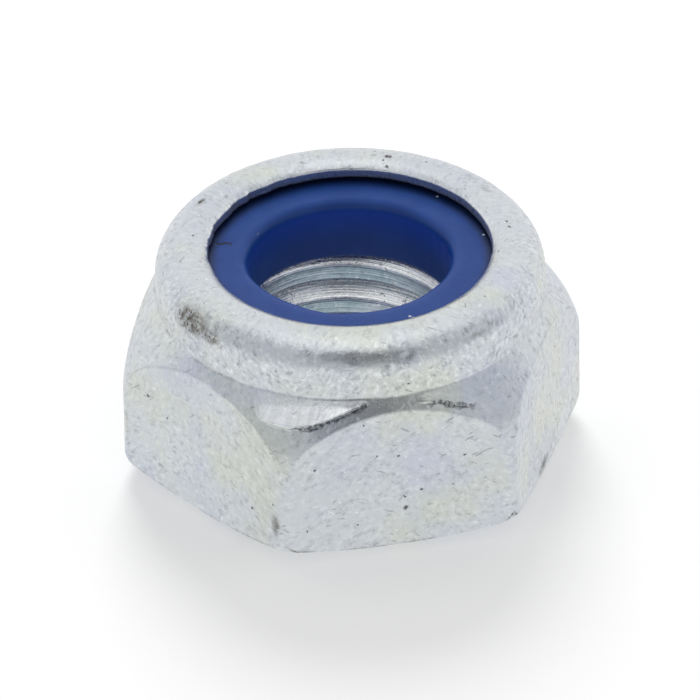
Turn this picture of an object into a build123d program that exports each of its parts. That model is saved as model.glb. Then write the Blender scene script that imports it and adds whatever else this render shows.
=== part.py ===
from build123d import *

import math
import os

# Prevailing-torque hexagon nut, M6 x 1, with a nylon locking ring.
# Frame: origin at the centre of the bearing face, +Z along the thread axis
# towards the nylon ring, +X through a corner of the hexagon. Millimetres.

# ---- Thread -----------------------------------------------------------------
thread_diameter = 6.0
thread_pitch = 1.0
minor_diameter_allowance = 0.12
countersink_rim = 0.25
countersink_angle = 90.0
thread_run_out = 0.12

# ---- Hexagon ----------------------------------------------------------------
width_across_flats = 10.0
corner_rounding = 0.06
nut_height = 5.9
bearing_face_diameter = 8.3
foot_chamfer_height = 0.45
foot_edge_radius = 0.25

# ---- Shoulder between the hexagon's corners and the collar -------------------
shoulder_angle = 54.0
shoulder_blend_radius = 2.3

# ---- Collar, rolled inwards over the ring ------------------------------------
collar_setback = 0.23
collar_height = 1.46
collar_wall = 0.67
collar_root_radius = 0.12
collar_roll_radius = 0.86
lip_overhang = 0.63
lip_edge_drop = 0.2
lip_edge_thickness = 0.14

# ---- Pocket that holds the ring ----------------------------------------------
pocket_depth = 2.12
pocket_roll_height = 0.6

# ---- Nylon ring ---------------------------------------------------------------
ring_thickness = 1.6
ring_grip = 0.08
ring_clearance = 0.02
ring_mouth_radius = 0.14

# ---- Rules of the metric thread and the hexagon --------------------------------
minor_diameter_pitches = 1.0825
hexagon_corners = 6
half_corner_angle = math.radians(30.0)
whole_turn = 360.0

# ---- Radii and heights that follow from the sizes above -----------------------
thread_minor_radius = (
    thread_diameter - minor_diameter_pitches * thread_pitch + minor_diameter_allowance
) / 2
corner_radius = width_across_flats / 2 / math.cos(half_corner_angle) - corner_rounding
collar_radius = width_across_flats / 2 - collar_setback
collar_base_height = nut_height - collar_height
pocket_radius = collar_radius - collar_wall
pocket_floor_height = nut_height - pocket_depth
lip_radius = pocket_radius - lip_overhang
lip_edge_height = nut_height - lip_edge_drop


def turned(profile):
    """The solid that a profile in the XZ plane makes about the thread axis."""
    return revolve(Plane.XZ * profile, Axis.Z, whole_turn)


def hexagon_prism():
    """The hexagonal bar, with one corner on +X."""
    outline = RegularPolygon(
        width_across_flats / 2, hexagon_corners, major_radius=False
    )
    return extrude(outline, nut_height)


def turned_envelope():
    """Everything inside the turned and rolled outside of the nut."""
    shoulder_rise = (corner_radius - collar_radius) * math.tan(
        math.radians(shoulder_angle)
    )
    roll_start = (collar_radius, nut_height - collar_roll_radius)
    roll_crest = (collar_radius - collar_roll_radius, nut_height)
    lip_edge = (lip_radius, lip_edge_height)
    side = FilletPolyline(
        (0, 0),
        (bearing_face_diameter / 2, 0),
        (corner_radius, foot_chamfer_height),
        (corner_radius, collar_base_height - shoulder_rise),
        (collar_radius, collar_base_height),
        roll_start,
        radius=[0, foot_edge_radius, shoulder_blend_radius, collar_root_radius],
    )
    outer_roll = TangentArc(roll_start, roll_crest, tangent=(0, 1))
    inner_roll = TangentArc(roll_crest, lip_edge, tangent=(-1, 0))
    inside = Polyline(lip_edge, (0, lip_edge_height), (0, 0))
    return turned(make_face(side + outer_roll + inner_roll + inside))


def ring_pocket(clearance=0.0):
    """The space under the rolled lip, open at the top, with its walls moved in by clearance."""
    lip_underside = lip_edge_height - lip_edge_thickness
    wall_foot = (pocket_radius - clearance, pocket_floor_height)
    roll_start = (pocket_radius - clearance, lip_underside - pocket_roll_height)
    roll_end = (lip_radius, lip_underside - clearance)
    wall = Line(wall_foot, roll_start)
    roll = TangentArc(roll_start, roll_end, tangent=(0, 1))
    inside = Polyline(
        roll_end,
        (lip_radius, nut_height),
        (0, nut_height),
        (0, pocket_floor_height),
        wall_foot,
    )
    return turned(make_face(wall + roll + inside))


def thread_bore():
    """The tapped hole at its minor diameter, with its countersink and its run-out."""
    mouth_radius = thread_diameter / 2 + countersink_rim
    countersink_depth = (mouth_radius - thread_minor_radius) / math.tan(
        math.radians(countersink_angle / 2)
    )
    outline = Polyline(
        (0, 0),
        (mouth_radius, 0),
        (thread_minor_radius, countersink_depth),
        (thread_minor_radius, pocket_floor_height - thread_run_out),
        (thread_minor_radius + thread_run_out, pocket_floor_height),
        (0, pocket_floor_height),
        close=True,
    )
    return turned(make_face(outline))


def build_nut_body():
    """The steel nut: hexagon, shoulder, collar and rolled lip in one piece."""
    blank = hexagon_prism() & turned_envelope()
    return blank - ring_pocket() - thread_bore()


def build_nylon_ring():
    """The moulded ring on the pocket's floor, its outer edge pressed round by the rolled lip."""
    bore_radius = thread_minor_radius - ring_grip / 2
    ring_top = pocket_floor_height + ring_thickness
    outline = FilletPolyline(
        (bore_radius, pocket_floor_height),
        (pocket_radius, pocket_floor_height),
        (pocket_radius, ring_top),
        (bore_radius, ring_top),
        radius=[0, 0, 0, ring_mouth_radius],
        close=True,
    )
    return turned(make_face(outline)) & ring_pocket(ring_clearance)


sub_parts = {
    "nut_body": build_nut_body,
    "nylon_ring": build_nylon_ring,
}

os.makedirs("parts", exist_ok=True)
for node_name, build in sub_parts.items():
    export_step(build(), os.path.join("parts", node_name + ".step"))
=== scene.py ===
"""Nylon insert lock nut, M6 x 1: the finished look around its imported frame.

The nut is one piece of zinc plated steel: a hexagon whose corners are turned off to a conical
shoulder, and a round collar that is rolled inwards over a blue nylon ring. The thread is cut
helically in the steel below the ring. All sizes in this file are millimetres, azimuths are
degrees about the thread axis from +X towards +Y, and meshes are scaled to metres when made.
"""

import logging
import math
from dataclasses import dataclass, field
from enum import Enum

import bpy
import numpy as np
from mathutils import Matrix, Vector


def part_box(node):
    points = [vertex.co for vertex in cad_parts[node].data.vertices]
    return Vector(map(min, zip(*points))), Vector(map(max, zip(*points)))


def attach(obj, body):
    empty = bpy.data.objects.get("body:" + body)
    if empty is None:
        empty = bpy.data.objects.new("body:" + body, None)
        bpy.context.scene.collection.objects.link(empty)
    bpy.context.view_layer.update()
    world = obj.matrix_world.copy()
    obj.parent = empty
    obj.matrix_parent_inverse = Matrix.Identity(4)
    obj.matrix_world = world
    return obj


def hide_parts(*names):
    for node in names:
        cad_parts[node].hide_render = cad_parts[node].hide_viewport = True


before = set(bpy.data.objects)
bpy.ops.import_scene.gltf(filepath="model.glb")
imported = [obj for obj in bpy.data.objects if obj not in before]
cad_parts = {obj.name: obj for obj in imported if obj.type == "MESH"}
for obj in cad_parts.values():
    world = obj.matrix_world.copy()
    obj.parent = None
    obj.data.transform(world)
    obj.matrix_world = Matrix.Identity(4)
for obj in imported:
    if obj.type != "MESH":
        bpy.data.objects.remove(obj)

MM = 0.001
WHOLE_TURN = 2.0 * math.pi
HEXAGON_CORNERS = 6
ROOT_BODY = "root"

log = logging.getLogger("lock_nut")


class Slot(Enum):
    """The names of the two material slots."""

    STEEL = "zinc_plated_steel"
    NYLON = "blue_nylon"


class CadNode(Enum):
    """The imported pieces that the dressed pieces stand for."""

    BODY = "nut_body"
    RING = "nylon_ring"


# ---- Frame sizes -----------------------------------------------------------------------------


@dataclass(frozen=True)
class FrameSizes:
    """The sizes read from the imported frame, in millimetres."""

    across_flats: float
    corner_radius: float
    nut_height: float
    ring_radius: float
    ring_floor: float
    ring_top: float

    @classmethod
    def read(cls) -> "FrameSizes":
        """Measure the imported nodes.

        Returns:
            The nut's and the ring's main sizes.
        """
        low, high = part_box(CadNode.BODY.value)
        ring_low, ring_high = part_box(CadNode.RING.value)
        return cls(
            across_flats=(high.y - low.y) / MM,
            corner_radius=high.x / MM,
            nut_height=high.z / MM,
            ring_radius=ring_high.x / MM,
            ring_floor=ring_low.z / MM,
            ring_top=ring_high.z / MM,
        )


# ---- Noise -----------------------------------------------------------------------------------


class ValueNoise:
    """Smooth seeded noise in three dimensions, from -1 to 1."""

    TABLE = 256

    def __init__(self, seed: int) -> None:
        """Fill the lattice tables.

        Args:
            seed: picks the pattern.
        """
        random = np.random.default_rng(seed)
        self.order = random.permutation(self.TABLE)
        self.values = random.uniform(-1.0, 1.0, self.TABLE)

    def _lattice(self, x: np.ndarray, y: np.ndarray, z: np.ndarray) -> np.ndarray:
        """The value at whole-number lattice points."""
        mixed = self.order[(self.order[x % self.TABLE] + y) % self.TABLE]
        return self.values[self.order[(mixed + z) % self.TABLE]]

    def at(self, points: np.ndarray, size: float) -> np.ndarray:
        """Sample the noise.

        Args:
            points: an array of positions, with three numbers each.
            size: the distance over which the noise changes, in millimetres.

        Returns:
            One value for each position.
        """
        scaled = points / size
        cell = np.floor(scaled).astype(int)
        part = scaled - cell
        blend = part * part * (3.0 - 2.0 * part)
        total = np.zeros(points.shape[:-1])
        for corner in range(8):
            step = np.array([corner & 1, corner >> 1 & 1, corner >> 2 & 1])
            weight = np.where(step == 1, blend, 1.0 - blend).prod(axis=-1)
            at = cell + step
            total += weight * self._lattice(at[..., 0], at[..., 1], at[..., 2])
        return total


# ---- Profiles and meshes ---------------------------------------------------------------------


def rounded_path(
    points: list[tuple[float, float]], radii: list[float], arc_steps: int = 24
) -> np.ndarray:
    """A path of straight runs whose inner corners are rounded by tangent arcs.

    Args:
        points: the corners of the path, as radius and height.
        radii: one radius for each inner corner, where 0 leaves it sharp.
        arc_steps: the number of chords in an arc.

    Returns:
        The points along the path.
    """
    corners = [np.array(p, float) for p in points]
    path = [corners[0]]
    for before, corner, after, radius in zip(corners, corners[1:], corners[2:], radii):
        along = (corner - before) / np.linalg.norm(corner - before)
        away = (after - corner) / np.linalg.norm(after - corner)
        turn = math.acos(float(np.clip(along @ away, -1.0, 1.0)))
        if radius <= 0.0 or turn < 1e-6:
            path.append(corner)
            continue
        side = away - (away @ along) * along
        side /= np.linalg.norm(side)
        start = corner - along * radius * math.tan(turn / 2)
        centre = start + side * radius
        for angle in np.linspace(0.0, turn, arc_steps + 1):
            path.append(
                centre + radius * (math.sin(angle) * along - math.cos(angle) * side)
            )
    path.append(corners[-1])
    return np.array(path)


def tangent_arc(
    start: tuple[float, float],
    end: tuple[float, float],
    direction: tuple[float, float],
    steps: int = 24,
) -> np.ndarray:
    """The circular arc that leaves start along direction and ends at end.

    Args:
        start: the first point, as radius and height.
        end: the last point.
        direction: the unit direction in which the arc leaves start.
        steps: the number of chords.

    Returns:
        The points along the arc.
    """
    p, q, d = (np.array(v, float) for v in (start, end, direction))
    chord = q - p
    side = np.array([-d[1], d[0]])
    reach = chord @ side
    radius = (chord @ chord) / (2.0 * reach)
    centre = p + side * radius
    turn = 2.0 * math.atan2(reach, chord @ d)
    angles = np.linspace(0.0, turn, steps + 1)
    return np.array(
        [centre + radius * (math.sin(a) * d - math.cos(a) * side) for a in angles]
    )


def along(path: np.ndarray, distances: np.ndarray) -> np.ndarray:
    """Points at the given distances along a path of chords.

    Args:
        path: the points of the path.
        distances: lengths from its start, in any array shape.

    Returns:
        The points, with radius and height in the last axis.
    """
    lengths = path_lengths(path)
    return np.stack(
        [np.interp(distances, lengths, path[:, axis]) for axis in (0, 1)], axis=-1
    )


def path_lengths(path: np.ndarray) -> np.ndarray:
    """The distance from the path's start to each of its points."""
    steps = np.linalg.norm(np.diff(path, axis=0), axis=1)
    return np.concatenate([[0.0], np.cumsum(steps)])


def even_rows(path: np.ndarray, count: int) -> np.ndarray:
    """Evenly spaced points along a path, with both ends."""
    return along(path, np.linspace(0.0, path_lengths(path)[-1], count))


def smooth_min(a: np.ndarray, b: np.ndarray | float, width: float) -> np.ndarray:
    """The lesser of two lengths, with a rounded change-over of the given width."""
    blend = np.clip(0.5 + 0.5 * (b - a) / width, 0.0, 1.0)
    return b * (1.0 - blend) + a * blend - width * blend * (1.0 - blend)


def smooth_step(value: np.ndarray, low: float, high: float) -> np.ndarray:
    """0 below low, 1 above high and smooth in between."""
    share = np.clip((value - low) / (high - low), 0.0, 1.0)
    return share * share * (3.0 - 2.0 * share)


def bell(distance: np.ndarray, width: float) -> np.ndarray:
    """1 at no distance, falling off smoothly over the given width."""
    return np.exp(-((distance / width) ** 2))


def angle_from(azimuths: np.ndarray, centre: float) -> np.ndarray:
    """Degrees from centre to each azimuth, from -180 to 180."""
    return (azimuths - centre + 180.0) % 360.0 - 180.0


def in_space(azimuths: np.ndarray, rings: np.ndarray) -> np.ndarray:
    """Positions of rows of radius and height turned to their azimuths.

    Args:
        azimuths: one azimuth in degrees for each column.
        rings: radius and height for each row and column.

    Returns:
        Positions in millimetres for each row and column.
    """
    turn = np.radians(azimuths)
    return np.stack(
        [
            rings[..., 0] * np.cos(turn),
            rings[..., 0] * np.sin(turn),
            rings[..., 1],
        ],
        axis=-1,
    )


def closed_ring_mesh(
    name: str, positions: np.ndarray, attributes: dict[str, np.ndarray]
) -> bpy.types.Object:
    """A closed mesh whose rows and columns both meet themselves again.

    Args:
        name: the piece's name.
        positions: positions in millimetres for each row and column.
        attributes: values for each row and column, by attribute name.

    Returns:
        The linked object, in metres, with its faces outwards.
    """
    rows, columns = positions.shape[:2]
    index = np.arange(rows * columns).reshape(rows, columns)
    right = np.roll(index, -1, axis=1)
    above = np.roll(index, -1, axis=0)
    above_right = np.roll(right, -1, axis=0)
    faces = np.stack([index, right, above_right, above], axis=-1).reshape(-1, 4)
    mesh = bpy.data.meshes.new(name)
    mesh.from_pydata((positions.reshape(-1, 3) * MM).tolist(), [], faces.tolist())
    for key, values in attributes.items():
        vectors = values.ndim > 2
        layer = mesh.attributes.new(key, "FLOAT_VECTOR" if vectors else "FLOAT", "POINT")
        layer.data.foreach_set(
            "vector" if vectors else "value", values.reshape(-1).astype(np.float32)
        )
    mesh.validate()
    if enclosed_volume(mesh) < 0.0:
        mesh.flip_normals()
    mesh.shade_smooth()
    piece = bpy.data.objects.new(name, mesh)
    bpy.context.scene.collection.objects.link(piece)
    return piece


def enclosed_volume(mesh: bpy.types.Mesh) -> float:
    """Measure the space inside a closed mesh.

    Args:
        mesh: the mesh, whose faces may point either way.

    Returns:
        The volume in cubic metres, negative where the faces point inwards.
    """
    mesh.calc_loop_triangles()
    corners = np.zeros(len(mesh.vertices) * 3)
    mesh.vertices.foreach_get("co", corners)
    triangles = np.zeros(len(mesh.loop_triangles) * 3, np.int32)
    mesh.loop_triangles.foreach_get("vertices", triangles)
    a, b, c = corners.reshape(-1, 3)[triangles.reshape(-1, 3)].transpose(1, 0, 2)
    return float(np.einsum("ij,ij->i", a, np.cross(b, c)).sum() / 6.0)


def stand_for(piece: bpy.types.Object, node: CadNode) -> None:
    """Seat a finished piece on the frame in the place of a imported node.

    Args:
        piece: the finished piece.
        node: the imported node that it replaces.
    """
    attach(piece, ROOT_BODY)
    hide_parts(node.value)
    log.info(
        "%s: %d triangles", piece.name, sum(len(p.vertices) - 2 for p in piece.data.polygons)
    )


# ---- Node trees ------------------------------------------------------------------------------


Source = bpy.types.NodeSocket | float | int | bool | tuple | str | bpy.types.Material


class Wiring:
    """Adds nodes to one tree and joins their sockets."""

    def __init__(self, tree: bpy.types.NodeTree) -> None:
        """Keep the tree.

        Args:
            tree: a shader, world or geometry node tree.
        """
        self.tree = tree

    def add(self, kind: str, inputs: dict | None = None, **settings: object) -> bpy.types.Node:
        """Add one node.

        Args:
            kind: the node's type name.
            inputs: what each named or numbered input is fed with.
            settings: values of the node's own properties.

        Returns:
            The new node.
        """
        node = self.tree.nodes.new(kind)
        for key, value in settings.items():
            setattr(node, key, value)
        for key, value in (inputs or {}).items():
            self.feed(node.inputs[key], value)
        return node

    def feed(self, socket: bpy.types.NodeSocket, value: Source) -> None:
        """Link a socket to another one, or set its value.

        Args:
            socket: the input to be fed.
            value: an output socket, or a constant.
        """
        if isinstance(value, bpy.types.NodeSocket):
            self.tree.links.new(value, socket)
        else:
            socket.default_value = value

    def math(self, operation: str, *values: Source, clamp: bool = False) -> bpy.types.NodeSocket:
        """The result of a Math node.

        Args:
            operation: the node's operation.
            values: its inputs in order.
            clamp: keeps the result from 0 to 1.

        Returns:
            The output socket.
        """
        inputs = dict(enumerate(values))
        return self.add("ShaderNodeMath", inputs, operation=operation, use_clamp=clamp).outputs[0]

    def vector(self, operation: str, *values: Source) -> bpy.types.NodeSocket:
        """The result of a Vector Math node."""
        inputs = dict(enumerate(values))
        return self.add("ShaderNodeVectorMath", inputs, operation=operation).outputs[0]

    def scale(self, vector: Source, factor: float) -> bpy.types.NodeSocket:
        """A vector times a number."""
        inputs = {0: vector, "Scale": factor}
        return self.add("ShaderNodeVectorMath", inputs, operation="SCALE").outputs[0]

    def attribute(self, name: str) -> bpy.types.NodeSocket:
        """A number that the mesh keeps at each point."""
        return self.add("ShaderNodeAttribute", attribute_name=name).outputs["Fac"]

    def away(self, where: Source, place: tuple[float, float, float]) -> bpy.types.NodeSocket:
        """The distance from a position to a fixed place."""
        inputs = {0: where, 1: place}
        return self.add("ShaderNodeVectorMath", inputs, operation="DISTANCE").outputs["Value"]

    def millimetres(self) -> bpy.types.NodeSocket:
        """The position on the object, in millimetres."""
        return self.scale(self.add("ShaderNodeTexCoord").outputs["Object"], 1.0 / MM)

    def map(
        self, value: Source, low: float, high: float, to_low: float = 0.0, to_high: float = 1.0
    ) -> bpy.types.NodeSocket:
        """A value stretched smoothly from one range to another and kept inside it.

        Args:
            value: what is mapped.
            low: the value that gives to_low.
            high: the value that gives to_high.
            to_low: the result at low.
            to_high: the result at high.

        Returns:
            The output socket.
        """
        node = self.add("ShaderNodeMapRange", interpolation_type="SMOOTHSTEP")
        for key, number in zip(range(5), (value, low, high, to_low, to_high)):
            self.feed(node.inputs[key], number)
        return node.outputs[0]

    def mix(self, share: Source, first: Source, second: Source) -> bpy.types.NodeSocket:
        """A colour between two others.

        Args:
            share: 0 gives the first colour and 1 the second.
            first: a colour or its socket.
            second: a colour or its socket.

        Returns:
            The output socket.
        """
        node = self.add("ShaderNodeMix", data_type="RGBA")
        self.feed(node.inputs[0], share)
        self.feed(node.inputs[6], first)
        self.feed(node.inputs[7], second)
        return node.outputs[2]

    def noise(
        self, where: Source, per_mm: float, detail: float = 3.0, roughness: float = 0.55
    ) -> bpy.types.NodeSocket:
        """Noise of about 0 to 1 over a position in millimetres.

        Args:
            where: the position.
            per_mm: how many changes there are in a millimetre.
            detail: the number of finer layers.
            roughness: how strong the finer layers are.

        Returns:
            The output socket.
        """
        inputs = {"Vector": where, "Scale": per_mm, "Detail": detail, "Roughness": roughness}
        return self.add("ShaderNodeTexNoise", inputs).outputs[0]


def colour(red: float, green: float, blue: float) -> tuple[float, float, float, float]:
    """An opaque colour in linear light."""
    return (red, green, blue, 1.0)


# ---- Finishes --------------------------------------------------------------------------------


@dataclass(frozen=True)
class Spot:
    """A small round mark at one place: a pinhole in the plate or a fleck in the nylon."""

    azimuth: float
    radius: float
    height: float
    size: float

    def place(self) -> tuple[float, float, float]:
        """The mark's position."""
        turn = math.radians(self.azimuth)
        return (self.radius * math.cos(turn), self.radius * math.sin(turn), self.height)


@dataclass(frozen=True)
class Strokes:
    """One family of short thin strokes on the plate.

    lean is the angle in degrees from upright, across and lengthwise are the changes in a
    millimetre over and along a stroke, and threshold is the noise level at which one starts.
    """

    lean: float
    across: float
    lengthwise: float
    threshold: float
    edge: float = 0.06


@dataclass(frozen=True)
class ZincPlate:
    """Clear zinc plate on steel: tumbled, mottled, tinted in patches, nicked and dirty, with
    painted highlights and painted shade.
    """

    name: str = "zinc_plate"
    tone: tuple = colour(0.640, 0.672, 0.705)
    straw_tint: tuple = colour(0.655, 0.680, 0.585)
    lilac_tint: tuple = colour(0.565, 0.605, 0.705)
    bright_tone: tuple = colour(0.93, 0.95, 0.955)
    dark_tone: tuple = colour(0.27, 0.285, 0.31)
    pit_tone: tuple = colour(0.07, 0.065, 0.06)
    dirt_and_shade_tone: tuple = colour(0.115, 0.098, 0.075)
    fold_shade_tone: tuple = colour(0.085, 0.090, 0.105)
    roughness: float = 0.32
    grain_per_mm: float = 7.5
    patches_per_mm: float = 0.36
    grain_height: float = 0.010
    grain_roughness: float = 0.22
    dirt_and_shade_roughness: float = 0.35
    rubbed_roughness: float = -0.06
    coarse_relief: float = 1.4
    nick_relief: float = 0.5
    pit_relief: float = 2.0
    tool_line_relief: float = 1.6
    patch_strength: float = 0.6
    nick_strength: float = 0.55
    upright_strength: float = 0.75
    pit_strength: float = 0.85
    groove_strength: float = 0.75
    glint_strength: float = 0.5
    slanted: Strokes = Strokes(62.0, 12.0, 3.4, 0.665)
    crossed: Strokes = Strokes(-48.0, 13.0, 3.0, 0.675)
    upright: Strokes = Strokes(8.0, 13.0, 2.6, 0.625)
    fibres: Strokes = Strokes(-10.0, 10.0, 1.2, 0.50)
    # Painted glints: short bright strokes.
    glints: Strokes = Strokes(40.0, 10.0, 5.0, 0.685)
    skin_radius: float = 4.77
    wrapped: bool = True
    tool_lines: bool = False
    grooves_per_mm: float = 11.0
    tool_lines_per_mm: float = 18.0
    pits_per_mm: float = 2.6
    pit_jitter: float = 0.09
    pits: tuple[Spot, ...] = (
        Spot(-88.2, 4.99, 1.31, 0.050),
        Spot(-88.4, 4.99, 1.63, 0.028),
        Spot(-83.6, 5.02, 1.79, 0.030),
        Spot(-74.8, 5.17, 1.81, 0.026),
        Spot(-96.2, 5.02, 2.92, 0.030),
        Spot(-90.0, 4.99, 2.85, 0.030),
        Spot(-112.7, 5.41, 2.77, 0.026),
        Spot(-101.8, 5.10, 1.01, 0.028),
        Spot(-114.8, 5.50, 1.02, 0.026),
        Spot(-99.7, 5.06, 3.87, 0.034),
        Spot(-71.8, 5.25, 2.61, 0.030),
        Spot(-164.0, 5.15, 2.43, 0.030),
        Spot(-130.6, 5.29, 1.27, 0.038),
        Spot(-171.0, 5.34, 2.78, 0.042),
        Spot(63.4, 3.87, 5.895, 0.050),
        Spot(62.0, 3.86, 5.895, 0.045),
        Spot(62.0, 3.57, 5.775, 0.040),
        Spot(64.0, 3.72, 5.86, 0.024),
        Spot(139.8, 4.11, 5.875, 0.050),
        Spot(138.2, 4.05, 5.885, 0.036),
        Spot(-1.4, 3.91, 5.898, 0.036),
        Spot(-5.0, 3.92, 5.898, 0.034),
        Spot(161.6, 3.83, 5.894, 0.036),
    )

    def make(self) -> bpy.types.Material:
        """Build the material.

        Returns:
            The finished material.
        """
        material = bpy.data.materials.new(self.name)
        material.use_nodes = True
        tree = Wiring(material.node_tree)
        where = tree.millimetres()
        skin = where
        if self.wrapped:
            skin = tree.add("ShaderNodeAttribute", attribute_name="skin").outputs["Vector"]
        grain = tree.noise(skin, self.grain_per_mm, 4.0, 0.65)
        coarse = tree.noise(where, self.grain_per_mm / 3.0, 3.0)
        nicks = self._nicks(tree, where, skin)
        pits = self._pits(tree, where)
        dirt_and_shade = self._dirt_and_shade(tree, where)
        tone = self._tone(tree, where, grain, coarse)
        # Painted highlights: the crescents above the creases (partly rubbed metal), the lip's edge,
        # the thread's upper flanks and top rim, and glints.
        tone = tree.mix(self._rubs_and_highlights(tree, skin), tone, self.bright_tone)
        tone = tree.mix(tree.math("MULTIPLY", nicks, self.nick_strength), tone, self.dark_tone)
        tone = tree.mix(tree.math("MULTIPLY", pits, self.pit_strength), tone, self.pit_tone)
        # Dirt in the stains, darker bands along edges, and painted shade on the lip's inner face.
        tone = tree.mix(dirt_and_shade, tone, self.dirt_and_shade_tone)
        if self.wrapped:
            # Painted shade: dark lines under the creases' overhang.
            tone = tree.mix(self._fold_shades(tree, where), tone, self.fold_shade_tone)
        rough = tree.math(
            "MULTIPLY_ADD",
            grain,
            self.grain_roughness,
            self.roughness - self.grain_roughness / 2.0,
        )
        rough = tree.math("MULTIPLY_ADD", dirt_and_shade, self.dirt_and_shade_roughness, rough, clamp=True)
        height = tree.math("MULTIPLY_ADD", coarse, self.coarse_relief, grain)
        height = tree.math("SUBTRACT", height, tree.math("MULTIPLY", nicks, self.nick_relief))
        height = tree.math("SUBTRACT", height, tree.math("MULTIPLY", pits, self.pit_relief))
        if self.tool_lines:
            height = tree.math("ADD", height, self._tool_lines(tree))
            # On the thread this share is a painted highlight on the upper flanks and the top rim.
            rub_and_highlight_share = tree.attribute("rub_and_highlight")
            tone = tree.mix(self._grooves(tree, rub_and_highlight_share), tone, self.dark_tone)
            rough = tree.math("MULTIPLY_ADD", rub_and_highlight_share, self.rubbed_roughness, rough, clamp=True)
        bump = tree.add(
            "ShaderNodeBump",
            {"Strength": 1.0, "Distance": self.grain_height * MM, "Height": height},
        )
        shader = material.node_tree.nodes["Principled BSDF"]
        tree.feed(shader.inputs["Base Color"], tone)
        tree.feed(shader.inputs["Metallic"], 1.0)
        tree.feed(shader.inputs["Roughness"], rough)
        tree.feed(shader.inputs["Normal"], bump.outputs[0])
        return material

    def _tone(
        self, tree: Wiring, where: Source, grain: Source, coarse: Source
    ) -> bpy.types.NodeSocket:
        """The plate's colour with its straw and lilac patches and its mottling.

        Args:
            tree: the tree under construction.
            where: the position in millimetres.
            grain: the fine noise.
            coarse: the coarser noise that gathers the dark mottling.

        Returns:
            The colour, stronger in contrast where the mesh's tumbled attribute says.
        """
        patches, strength = self.patches_per_mm, self.patch_strength
        straw = tree.map(tree.noise(where, patches, 3.0), 0.46, 0.64)
        shifted = tree.vector("ADD", where, (17.0, 5.0, 9.0))
        lilac = tree.map(tree.noise(shifted, patches * 1.3, 3.0), 0.46, 0.66)
        tone = tree.mix(tree.math("MULTIPLY", straw, strength), self.tone, self.straw_tint)
        tone = tree.mix(tree.math("MULTIPLY", lilac, strength), tone, self.lilac_tint)
        tumbled = tree.attribute("tumbled")
        dark = tree.math("MULTIPLY", tree.map(grain, 0.48, 0.72), tree.map(coarse, 0.34, 0.6))
        dark = tree.math("MULTIPLY", dark, tree.math("MULTIPLY_ADD", tumbled, 0.30, 0.45))
        bright = tree.map(grain, 0.50, 0.28)
        bright = tree.math("MULTIPLY", bright, tree.math("MULTIPLY_ADD", tumbled, 0.36, 0.32))
        tone = tree.mix(dark, tone, self.dark_tone)
        return tree.mix(bright, tone, self.bright_tone)

    def _strokes(self, tree: Wiring, skin: Source, family: Strokes) -> bpy.types.NodeSocket:
        """Short thin strokes on the surface.

        Args:
            tree: the tree under construction.
            skin: the position on the unrolled surface, wound round a cylinder.
            family: the strokes' angle, size and number.

        Returns:
            1 in a stroke and 0 between them.
        """
        lean = math.radians(family.lean)
        slope, shrink = math.tan(lean), math.cos(lean)
        up = tree.add("ShaderNodeSeparateXYZ", {0: skin}).outputs["Z"]
        twisted = tree.add(
            "ShaderNodeVectorRotate",
            {"Vector": skin, "Angle": tree.math("MULTIPLY", up, slope / self.skin_radius)},
            rotation_type="Z_AXIS",
        ).outputs[0]
        across, lengthwise = family.across * shrink, family.lengthwise / shrink
        stretched = tree.vector("MULTIPLY", twisted, (across, across, lengthwise))
        noise = tree.noise(stretched, 1.0, 1.5)
        return tree.map(noise, family.threshold, family.threshold + family.edge)

    def _nicks(self, tree: Wiring, where: Source, skin: Source) -> bpy.types.NodeSocket:
        """Thin short handling scratches, mostly upright where the mesh says so.

        Args:
            tree: the tree under construction.
            where: the position in millimetres.
            skin: the position on the unrolled surface.

        Returns:
            1 in a scratch and 0 between them.
        """
        patchy = tree.map(tree.noise(where, 1.3, 2.0), 0.42, 0.60)
        slanted, crossed, standing = (
            self._strokes(tree, skin, family)
            for family in (self.slanted, self.crossed, self.upright)
        )
        anywhere = tree.math("MULTIPLY", tree.math("MAXIMUM", slanted, crossed), patchy)
        share = tree.math("MULTIPLY", tree.attribute("upright"), self.upright_strength)
        return tree.math("MAXIMUM", anywhere, tree.math("MULTIPLY", standing, share))

    def _rubs_and_highlights(self, tree: Wiring, skin: Source) -> bpy.types.NodeSocket:
        """Bright places where the mesh's attribute says, fibrous on the body: partly rubbed metal
        and partly painted highlight, with painted glints.

        Args:
            tree: the tree under construction.
            skin: the position on the unrolled surface.

        Returns:
            How bright the place is painted, from 0 to 1.
        """
        fibres: Source = 1.0
        if self.wrapped:
            fibres = tree.math("SUBTRACT", 1.0, self._strokes(tree, skin, self.fibres))
        rub_and_highlight_share = tree.math(
            "MULTIPLY", tree.attribute("rub_and_highlight"), tree.math("MULTIPLY_ADD", fibres, 0.35, 0.65)
        )
        # Painted glints: short bright strokes.
        glints = tree.math("MULTIPLY", self._strokes(tree, skin, self.glints), self.glint_strength)
        return tree.math("MAXIMUM", rub_and_highlight_share, glints, clamp=True)

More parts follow.
